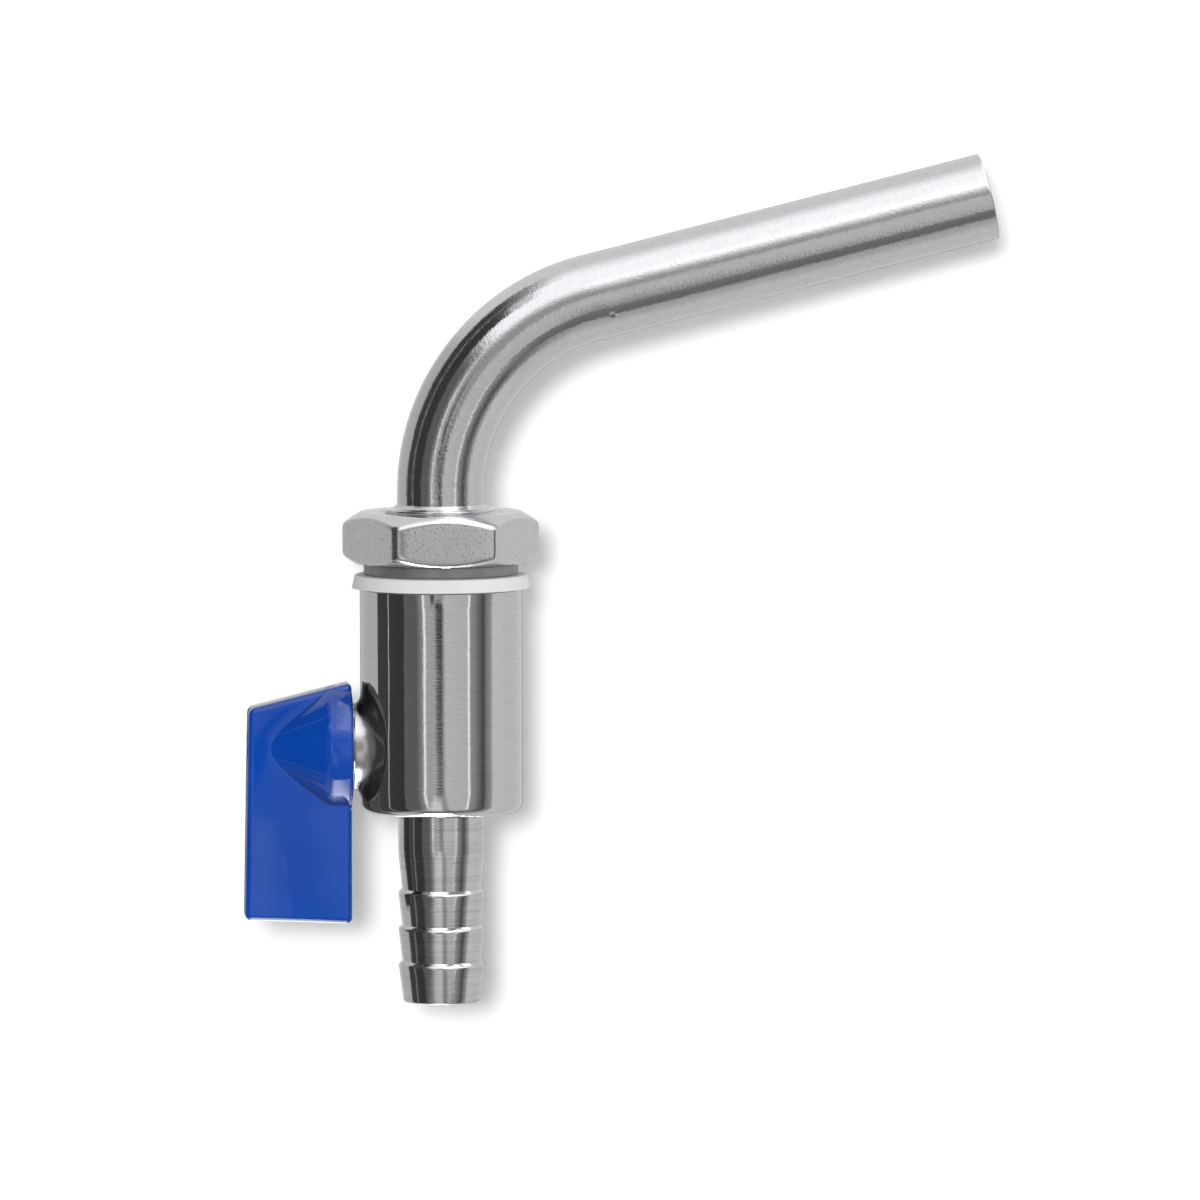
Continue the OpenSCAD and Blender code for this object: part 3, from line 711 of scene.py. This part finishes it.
class SAMPLETAP_OT_spout_tube(bpy.types.Operator):
    """Bent sampling tube with deburred ends and the small dent after its bend"""

    bl_idname = "sampletap.spout_tube"
    bl_label = "Spout tube"

    def execute(self, context):
        sizes, colors = settings_of(context)
        outer, inner, bend_r, arm = TUBE_R * MM, TUBE_HOLE_R * MM, BEND_R * MM, ARM * MM
        foot_rows, bend_rows, fine_rows, arm_rows, fine_row = 6, 72, 20, 24, 0.3 * MM
        bm = bmesh.new()
        loops = []
        for radius in (outer, inner):
            made = bmesh.ops.create_circle(
                bm, cap_ends=False, segments=112, radius=radius,
                matrix=Matrix.Translation((0, 0, SOCKET_Z)))
            loops.append({e for v in made["verts"] for e in v.link_edges})
        first = list(loops[0] | loops[1])
        edges = self.draw_on(
            bm, first, Vector((0, 0, (BEND_Z - SOCKET_Z) / foot_rows)), foot_rows)
        verts = list({v for e in edges for v in e.verts})
        made = bmesh.ops.spin(
            bm, geom=verts + edges, cent=(bend_r, 0, BEND_Z), axis=(0, 1, 0), dvec=(0, 0, 0),
            angle=BEND_ANGLE, steps=bend_rows, use_merge=False)
        edges = only(bmesh.types.BMEdge, made["geom_last"])
        along = Vector((math.sin(BEND_ANGLE), 0, math.cos(BEND_ANGLE)))
        edges = self.draw_on(bm, edges, along * fine_row, fine_rows)
        edges = self.draw_on(
            bm, edges, along * ((arm - (fine_rows + 1) * fine_row) / arm_rows), arm_rows)
        last = self.draw_on(bm, edges, along * fine_row, 1)
        bend_end = Vector((
            bend_r * (1 - math.cos(BEND_ANGLE)), 0, BEND_Z + bend_r * math.sin(BEND_ANGLE)))
        rims = self.close_rim(bm, first, Vector((0, 0, SOCKET_Z)))
        rims += self.close_rim(bm, last, bend_end + along * arm)
        face_out(bm)
        rim_edges = {e for f in rims for e in f.edges}
        sharp_angle, rim_edge = 0.8, 0.22 * MM
        bevel(bm, [e for e in rim_edges if e.calc_face_angle(0) > sharp_angle], rim_edge, 3)
        self.press_dent(bm, sizes.dent_depth)
        face_out(bm)
        make_piece("spout_tube_polished", bm, "valve", ["spout_tube"],
                   finish("tube_steel", colors))
        return {"FINISHED"}

    def draw_on(self, bm, edges, move, count):
        """Draws open loops on by a number of rows, and returns the last row's edges."""
        for _ in range(count):
            made = bmesh.ops.extrude_edge_only(bm, edges=edges)["geom"]
            edges = [e for e in only(bmesh.types.BMEdge, made) if len(e.link_faces) < 2]
            verts = list({v for e in edges for v in e.verts})
            bmesh.ops.translate(bm, verts=verts, vec=move)
        return edges

    def close_rim(self, bm, rim, centre):
        """Draws the outer loop of an open end in to the bore, and returns the faces made."""
        outer, inner = TUBE_R * MM, TUBE_HOLE_R * MM
        outside = {e for e in rim if (e.verts[0].co - centre).length > (outer + inner) / 2}
        bore = {v for e in rim if e not in outside for v in e.verts}
        made = bmesh.ops.extrude_edge_only(bm, edges=list(outside))["geom"]
        moved = only(bmesh.types.BMVert, made)
        faces = only(bmesh.types.BMFace, made)
        bmesh.ops.scale(bm, verts=moved, vec=(inner / outer,) * 3,
                        space=Matrix.Translation(-centre))
        bmesh.ops.remove_doubles(bm, verts=moved + list(bore), dist=0.02 * MM)
        return faces

    def press_dent(self, bm, depth):
        """Presses a small round dent with a raised lip into the wall."""
        middle, inwards = Vector((23.45, -5.42, 37.8)) * MM, Vector((0.2, 1, 0.4)).normalized()
        size, reach = 0.42 * MM, 3
        dish, lip, lip_at, lip_width = 1.2, 0.5, 1.4, 0.5
        for vert in bm.verts:
            away = (vert.co - middle).length / size
            if away < reach:
                push = depth * (dish * math.exp(-away * away) - lip * math.exp(
                    -((away - lip_at) / lip_width) ** 2))
                vert.co += inwards * push


class SAMPLETAP_OT_seals(bpy.types.Operator):
    """Braze fillet at the tube's foot, white gasket and grey flat washer"""

    bl_idname = "sampletap.seals"
    bl_label = "Braze, gasket and washer"

    def execute(self, context):
        sizes, colors = settings_of(context)
        for name, body, node, slot, section in (
                ("braze_fillet", "valve", "braze_ring", "braze", [
                    (6.0, 10.85), (6.0, 11.6, 0.1), (6.22, 11.42), (6.45, 11.12),
                    (6.75, 10.96), (7.05, 10.91, 0.03), (7.05, 10.85)]),
                ("gasket_ring", "valve", "shoulder_gasket", "gasket", [
                    (CLEAR_R, 0.01, 0.2), (12.3, 0.01, 0.12), (11.9, GASKET_TOP, 0.3),
                    (CLEAR_R, GASKET_TOP, 0.2)]),
                ("flat_washer_ring", "washer", "flat_washer", "washer_steel", [
                    (CLEAR_R, 1.9, 0.1), (10.65, 1.9, 0.2), (10.65, WASHER_TOP, 0.2),
                    (CLEAR_R, WASHER_TOP, 0.1)])):
            make_piece(name, turned(section, sizes.round_steps), body, [node],
                       finish(slot, colors), sharp=50)
        return {"FINISHED"}


class SAMPLETAP_OT_lock_nut(bpy.types.Operator):
    """Hexagon lock nut with chamfers, tumbled edges and its thread"""

    bl_idname = "sampletap.lock_nut"
    bl_label = "Lock nut"

    def execute(self, context):
        sizes, colors = settings_of(context)
        core_r, blank_r, steps = 9.6, 14, 384
        bm = turned([
            (NUT_ROOT_R, 4.36), (9.2, WASHER_TOP, 0.2), (blank_r, WASHER_TOP),
            (blank_r, NUT_TOP), (8.84, NUT_TOP), (NUT_ROOT_R, 10.07)], steps,
            longest=0.16 * MM)
        for vert in bm.verts:
            radius = math.hypot(vert.co.x, vert.co.y)
            if radius > core_r * MM:
                largest = self.outline(math.atan2(vert.co.y, vert.co.x), vert.co.z / MM, sizes)
                share = min(1, (radius / MM - core_r) / (blank_r - core_r))
                inward = 1 - share * (1 - largest / blank_r)
                vert.co.x *= inward
                vert.co.y *= inward
        face_out(bm)
        ridge = screw_ridge(
            NUT_ROOT_R, NUT_CREST_R, 0.5, NUT_THREAD_FROM, NUT_THREAD_TO, sink=-0.06)
        bmesh.ops.rotate(ridge, verts=ridge.verts, cent=(0, 0, 0),
                         matrix=Matrix.Rotation(self.thread_phase(), 3, "Z"))
        add(bm, ridge)
        make_piece("lock_nut_worn", bm, "nut", ["lock_nut"],
                   finish("nut_steel", colors), sharp=50)
        return {"FINISHED"}

    def outline(self, angle, height, sizes):
        """The nut's radius in mm: flats, both chamfers and the rounding where they meet."""
        # A power mean of the limits: at a power of 36 it rounds the edges by 0.35 mm
        power = 0.35 * MM / sizes.nut_edge * 36
        limits = [NUT_FLAT / max(1e-6, math.cos(angle - math.radians(30 + 60 * i)))
                  for i in range(6)]
        slope, top_r, foot_r = math.tan(math.radians(30)), 11.15, 11.9
        limits.append(top_r + max(0, NUT_TOP - height) / slope)
        limits.append(foot_r + max(0, height - WASHER_TOP) / slope)
        # Flats that face away come out huge, and are left out
        return sum(limit ** -power for limit in limits if limit < 1000) ** (-1 / power)

    def thread_phase(self):
        """The turn that puts the nut's ridge half way between the shank's ridges."""
        pitches = (NUT_THREAD_FROM - THREAD_FROM) * MM / THREAD_PITCH
        return FULL_TURN * (pitches - 0.5)


class SAMPLETAP_OT_hose_tail(bpy.types.Operator):
    """Barbed hose tail with its head"""

    bl_idname = "sampletap.hose_tail"
    bl_label = "Hose tail"

    def execute(self, context):
        sizes, colors = settings_of(context)
        corners = [(FLOW_R, TAIL_END, 0.15), (5.26, TAIL_END, 0.04), (5.34, -57.18, 0.04)]
        for barb_z, root_z in ((-52.2, -51.68), (-47.2, -46.68), (-42.2, -41.68)):
            corners += [(BARB_R, barb_z, sizes.barb_edge / MM), (BARB_ROOT_R, root_z)]
        corners += [
            (6, -36.6, 0.8), (6, -31.3), (6.3, BODY_FOOT), (8.5, BODY_FOOT), (8.5, -27.5),
            (8.1, -27.5), (8.1, -25.9), (CHAMBER_R, -25.9), (CHAMBER_R, -28.92),
            (FLOW_R, -28.92)]
        bm = turned(corners, sizes.round_steps, longest=2 * MM)
        make_piece("hose_tail_turned", bm, "valve", ["hose_tail"],
                   finish("tail_steel", colors), sharp=24)
        return {"FINISHED"}


class SAMPLETAP_OT_handle(bpy.types.Operator):
    """Blue moulded handle: wing, collar and cone, with its recess and screw well"""

    bl_idname = "sampletap.handle"
    bl_label = "Handle"

    def execute(self, context):
        sizes, colors = settings_of(context)
        hub = turned([
            (0.01, 12.46), (8.5, 12.46, 0.6), (8.5, 15.75, 0.9), (2.9, 23.79), (0.01, 23.79)],
            sizes.round_steps)
        hub.transform(STEM_AXIS)
        bm = cut(self.wing(sizes), hub, "UNION")
        recess_r, stem_r, screw_r, well_r = 5.7, 2.53, 1.35, 2.35
        well = turned([
            (0.01, 12), (recess_r, 12), (recess_r, 13.9), (stem_r, 13.9), (stem_r, 19.7),
            (screw_r, 19.7), (screw_r, 21.1), (well_r, 21.1), (well_r, 28), (0.01, 28)], 96)
        well.transform(STEM_AXIS)
        bm = cut(bm, well)
        lug = spin_part([(4.2, 12.5), (6.1, 12.5), (6.1, 14.1), (4.2, 14.1)],
                        math.radians(121.5), math.radians(328.5), 60)
        add(bm, lug, STEM_AXIS)
        make_piece("handle_moulded", bm, "handle", ["handle"],
                   blue_finish(colors), sharp=26)
        return {"FINISHED"}

    def wing(self, sizes):
        """The wing: its outline, pushed out both ways, thinned to the tip and rounded."""
        half, thinner, taper = 3 * MM, 0.7, 18.3
        taper_z = STEM_Z - 8.5 * MM
        bm = bmesh.new()
        outline = [(-12.5, 9), (-26.74, 5.44), (-27.33, -23.8), (-12.5, -24.42)]
        verts = [bm.verts.new((x * MM, -half, STEM_Z + z * MM)) for x, z in outline]
        made = bmesh.ops.extrude_face_region(bm, geom=[bm.faces.new(verts)])
        bmesh.ops.translate(bm, verts=only(bmesh.types.BMVert, made["geom"]),
                            vec=(0, 2 * half, 0))
        bmesh.ops.bisect_plane(
            bm, geom=bm.verts[:] + bm.edges[:] + bm.faces[:], dist=1e-7,
            plane_co=(0, 0, taper_z), plane_no=(0, 0, 1))
        for vert in bm.verts:
            below = taper_z - vert.co.z
            if below > 0:
                vert.co.y *= 1 - below * thinner / taper / half
        face_out(bm)
        corners = [e for e in bm.edges if e.calc_face_angle(0) > math.radians(40)]
        bevel(bm, corners, sizes.wing_edge, 5)
        return bm


class SAMPLETAP_OT_inner_parts(bpy.types.Operator):
    """Finishes of the parts inside the valve and of the handle's screw"""

    bl_idname = "sampletap.inner_parts"
    bl_label = "Inner parts"

    def execute(self, context):
        for slot, names in (
                ("ptfe", ("upper_seat", "lower_seat", "tail_seal", "thrust_washer")),
                ("ball_steel", ("ball",)),
                ("stem_steel", ("valve_stem",)),
                ("oring_rubber", ("inner_oring", "outer_oring")),
                ("screw_steel", ("handle_screw", "screw_washer"))):
            material = finish(slot, context.scene.tap_finish)
            for name in names:
                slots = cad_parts[name].data.materials
                slots.clear()
                slots.append(material)
        return {"FINISHED"}


def plain_material(name):
    """An empty material, its tree and its surface socket."""
    material = bpy.data.materials.new(name)
    material.use_nodes = True
    tree = material.node_tree
    tree.nodes.remove(tree.nodes["Principled BSDF"])
    return material, tree, tree.nodes["Material Output"].inputs["Surface"]


class SAMPLETAP_OT_stage(bpy.types.Operator):
    """Plain floor, soft light and the photograph's camera"""

    bl_idname = "sampletap.stage"
    bl_label = "Stage"

    def execute(self, context):
        studio = context.scene.tap_studio
        self.add_camera(context, studio)
        self.add_floor(studio)
        self.add_world(context, studio)
        self.add_lights(context, studio)
        self.add_cards(studio)
        context.scene.view_settings.view_transform = "Standard"
        return {"FINISHED"}

    def camera_axes(self, studio):
        """Unit vectors towards the camera, to its right and up."""
        a, e = studio.azimuth, studio.elevation
        toward = Vector((math.sin(a) * math.cos(e), -math.cos(a) * math.cos(e), math.sin(e)))
        right = Vector((math.cos(a), math.sin(a), 0))
        return toward, right, toward.cross(right)

    def add_camera(self, context, studio):
        toward, right, up = self.camera_axes(studio)
        per_pixel = studio.view_width / PHOTO_PIXELS
        target = right * (MIDDLE_RIGHT * per_pixel) - up * (MIDDLE_BELOW * per_pixel)
        camera = bpy.data.objects.new("photo_camera", bpy.data.cameras.new("photo_camera"))
        sensor = 36
        camera.data.sensor_width = sensor
        camera.data.lens = sensor * studio.distance / studio.view_width
        camera.data.clip_start = 0.05
        camera.data.clip_end = 20
        turn = Matrix((right, up, toward)).transposed() @ Matrix.Rotation(-studio.roll, 3, "Z")
        camera.matrix_world = (
            Matrix.Translation(target + toward * studio.distance) @ turn.to_4x4())
        context.scene.collection.objects.link(camera)
        context.scene.camera = camera

    def add_floor(self, studio):
        """The white table that the tap lies over in the photograph."""
        bm = bmesh.new()
        bmesh.ops.create_grid(
            bm, x_segments=1, y_segments=1, size=3,
            matrix=Matrix.Translation((0, studio.floor_gap, 0))
            @ Matrix.Rotation(studio.floor_turn, 4, "Z")
            @ Matrix.Rotation(math.pi / 2, 4, "X"))
        floor = new_object("floor", bm, self.paper("floor_paper", glow=0.18))
        floor.visible_glossy = floor.visible_transmission = floor.visible_shadow = False

    def paper(self, name, glow):
        """White paper: the camera sees it as white, less the tap's shadow. It is clear from
        behind, and fades where it is seen edge-on."""
        material, tree, surface = plain_material(name)
        paper = place(tree, "BsdfDiffuse", Color=(0.8, 0.8, 0.8, 1))
        lit = place(tree, "Emission", Color=(1, 1, 1, 1))
        clear = place(tree, "BsdfTransparent")
        path = place(tree, "LightPath")
        side = place(tree, "NewGeometry")
        slant = place(tree, "LayerWeight", Blend=0.5)
        fade = place(tree, "MapRange", From_Min=0.25, From_Max=0.6)
        hidden = reckon(tree, "MAXIMUM")
        amount = reckon(tree, "MULTIPLY")
        amount.inputs[1].default_value = glow
        both = place(tree, "AddShader")
        mix = place(tree, "MixShader")
        wire(tree,
             (path.outputs["Is Camera Ray"], amount.inputs[0]),
             (amount.outputs[0], lit.inputs["Strength"]),
             (paper.outputs[0], both.inputs[0]),
             (lit.outputs[0], both.inputs[1]),
             (slant.outputs["Facing"], fade.inputs["Value"]),
             (fade.outputs["Result"], hidden.inputs[0]),
             (side.outputs["Backfacing"], hidden.inputs[1]),
             (hidden.outputs[0], mix.inputs[0]),
             (both.outputs[0], mix.inputs[1]),
             (clear.outputs[0], mix.inputs[2]),
             (mix.outputs[0], surface))
        return material

    def add_world(self, context, studio):
        """White to the camera and in reflections, and an even, weaker light on the tap."""
        world = bpy.data.worlds.new("studio")
        context.scene.world = world
        world.use_nodes = True
        tree = world.node_tree
        background = tree.nodes["Background"].inputs
        background["Color"].default_value = (1, 1, 1, 1)
        path = place(tree, "LightPath").outputs
        seen = path["Is Camera Ray"]
        for kind in ("Is Glossy Ray", "Is Transmission Ray"):
            either = reckon(tree, "MAXIMUM")
            wire(tree, (seen, either.inputs[0]), (path[kind], either.inputs[1]))
            seen = either.outputs[0]
        strength = place(tree, "MapRange", To_Min=studio.ambient, To_Max=1.0)
        wire(tree,
             (seen, strength.inputs["Value"]),
             (strength.outputs["Result"], background["Strength"]))

    def add_lights(self, context, studio):
        """A key light of two suns, a soft core and a wide skirt that gives the shadow its
        long edge, and a fill that shines from just behind the table's plane, so that the
        table takes neither light nor shadow from it."""
        toward, right, up = self.camera_axes(studio)
        offset = math.tan(studio.key_offset)
        aim = (toward - right * offset + up * offset).normalized()
        behind = 0.12
        side = (right - toward * behind).normalized()
        core, skirt, wide = 0.6, 0.4, studio.key_softness * 2.7
        for name, come_from, energy, angle in (
                ("key_core", aim, studio.key * core, studio.key_softness),
                ("key_skirt", aim, studio.key * skirt, wide),
                ("fill", side, studio.fill, wide)):
            sun = bpy.data.lights.new(name, "SUN")
            sun.energy = energy
            sun.angle = angle
            lamp = bpy.data.objects.new(name, sun)
            lamp.location = come_from * 0.9
            lamp.rotation_euler = come_from.to_track_quat("Z", "Y").to_euler()
            lamp.visible_glossy = False
            context.scene.collection.objects.link(lamp)

    def add_cards(self, studio):
        toward, right, up = self.camera_axes(studio)
        facing = Matrix((right, up, toward)).transposed().to_4x4()
        material = self.card_material()
        for layer, (name, *angles) in enumerate(CARDS):
            distance = CARD_DISTANCE - CARD_STEP * layer
            self.add_card(name, distance, facing, material, *angles)

    def add_card(self, name, distance, facing, material, inner, outer, first, last, glow, rim):
        """One curved card: an arc out from the camera's direction, spun round it. The
        glow's alpha fades its ends."""
        bm = bmesh.new()
        bright = bm.verts.layers.float_color.new("glow")
        arc, degrees_per_step = 16, 3
        verts = []
        for i in range(arc + 1):
            angle = math.radians(inner + (outer - inner) * i / arc)
            share = (1 - math.cos(math.pi * i / arc)) / 2
            vert = bm.verts.new((
                math.sin(angle) * math.sin(math.radians(first)) * distance,
                math.sin(angle) * math.cos(math.radians(first)) * distance,
                math.cos(angle) * distance))
            level = glow + (rim - glow) * share
            vert[bright] = (level, level, level, 1)
            if verts:
                bm.edges.new((verts[-1], vert))
            verts.append(vert)
        steps = max(4, round((last - first) / degrees_per_step))
        closed = last - first >= 360
        bmesh.ops.spin(
            bm, geom=bm.verts[:] + bm.edges[:], cent=(0, 0, 0), axis=AXIS_Z, dvec=(0, 0, 0),
            angle=-math.radians(last - first), steps=steps, use_merge=closed)
        if not closed:
            for vert in bm.verts:
                turn = math.degrees(math.atan2(vert.co.x, vert.co.y))
                edge = min((turn - first) % 360, (last - turn) % 360)
                vert[bright] = (*vert[bright][:3], min(1, edge / CARD_FADE))
        bm.transform(facing)
        card = new_object(name, bm, material)
        card.visible_camera = card.visible_diffuse = False
        card.visible_transmission = card.visible_shadow = False

    def card_material(self):
        material, tree, surface = plain_material("card")
        material.cycles.emission_sampling = "NONE"
        glow = place(tree, "Attribute")
        glow.attribute_name = "glow"
        shine = place(tree, "Emission", Strength=1.0)
        clear = place(tree, "BsdfTransparent")
        mix = place(tree, "MixShader")
        wire(tree,
             (glow.outputs["Color"], shine.inputs["Color"]),
             (glow.outputs["Alpha"], mix.inputs[0]),
             (clear.outputs[0], mix.inputs[1]),
             (shine.outputs[0], mix.inputs[2]),
             (mix.outputs[0], surface))
        return material


class SAMPLETAP_PT_panel(bpy.types.Panel):
    """Lists the tap's settings and the operators that build it"""

    bl_label = "Sample tap"
    bl_idname = "SAMPLETAP_PT_panel"
    bl_space_type = "VIEW_3D"
    bl_region_type = "UI"
    bl_category = "Sample Tap"

    def draw(self, context):
        layout = self.layout
        for settings in (context.scene.tap_sizes, context.scene.tap_finish,
                         context.scene.tap_studio):
            box = layout.box()
            for name in settings.bl_rna.properties.keys():
                if name not in ("rna_type", "name"):
                    box.prop(settings, name)
        for operator in STEPS:
            layout.operator(operator.bl_idname)


SETTINGS = (TapSizes, TapFinish, StudioSettings)
STEPS = (
    SAMPLETAP_OT_valve_body,
    SAMPLETAP_OT_spout_tube,
    SAMPLETAP_OT_seals,
    SAMPLETAP_OT_lock_nut,
    SAMPLETAP_OT_hose_tail,
    SAMPLETAP_OT_handle,
    SAMPLETAP_OT_inner_parts,
    SAMPLETAP_OT_stage,
)


def register():
    for cls in SETTINGS + STEPS + (SAMPLETAP_PT_panel,):
        bpy.utils.register_class(cls)
    bpy.types.Scene.tap_sizes = PointerProperty(type=TapSizes)
    bpy.types.Scene.tap_finish = PointerProperty(type=TapFinish)
    bpy.types.Scene.tap_studio = PointerProperty(type=StudioSettings)


def unregister():
    del bpy.types.Scene.tap_studio
    del bpy.types.Scene.tap_finish
    del bpy.types.Scene.tap_sizes
    for cls in reversed(SETTINGS + STEPS + (SAMPLETAP_PT_panel,)):
        bpy.utils.unregister_class(cls)


def main():
    register()
    for operator in STEPS:
        group, name = operator.bl_idname.split(".")
        getattr(getattr(bpy.ops, group), name)()


if __name__ == "__main__":
    main()
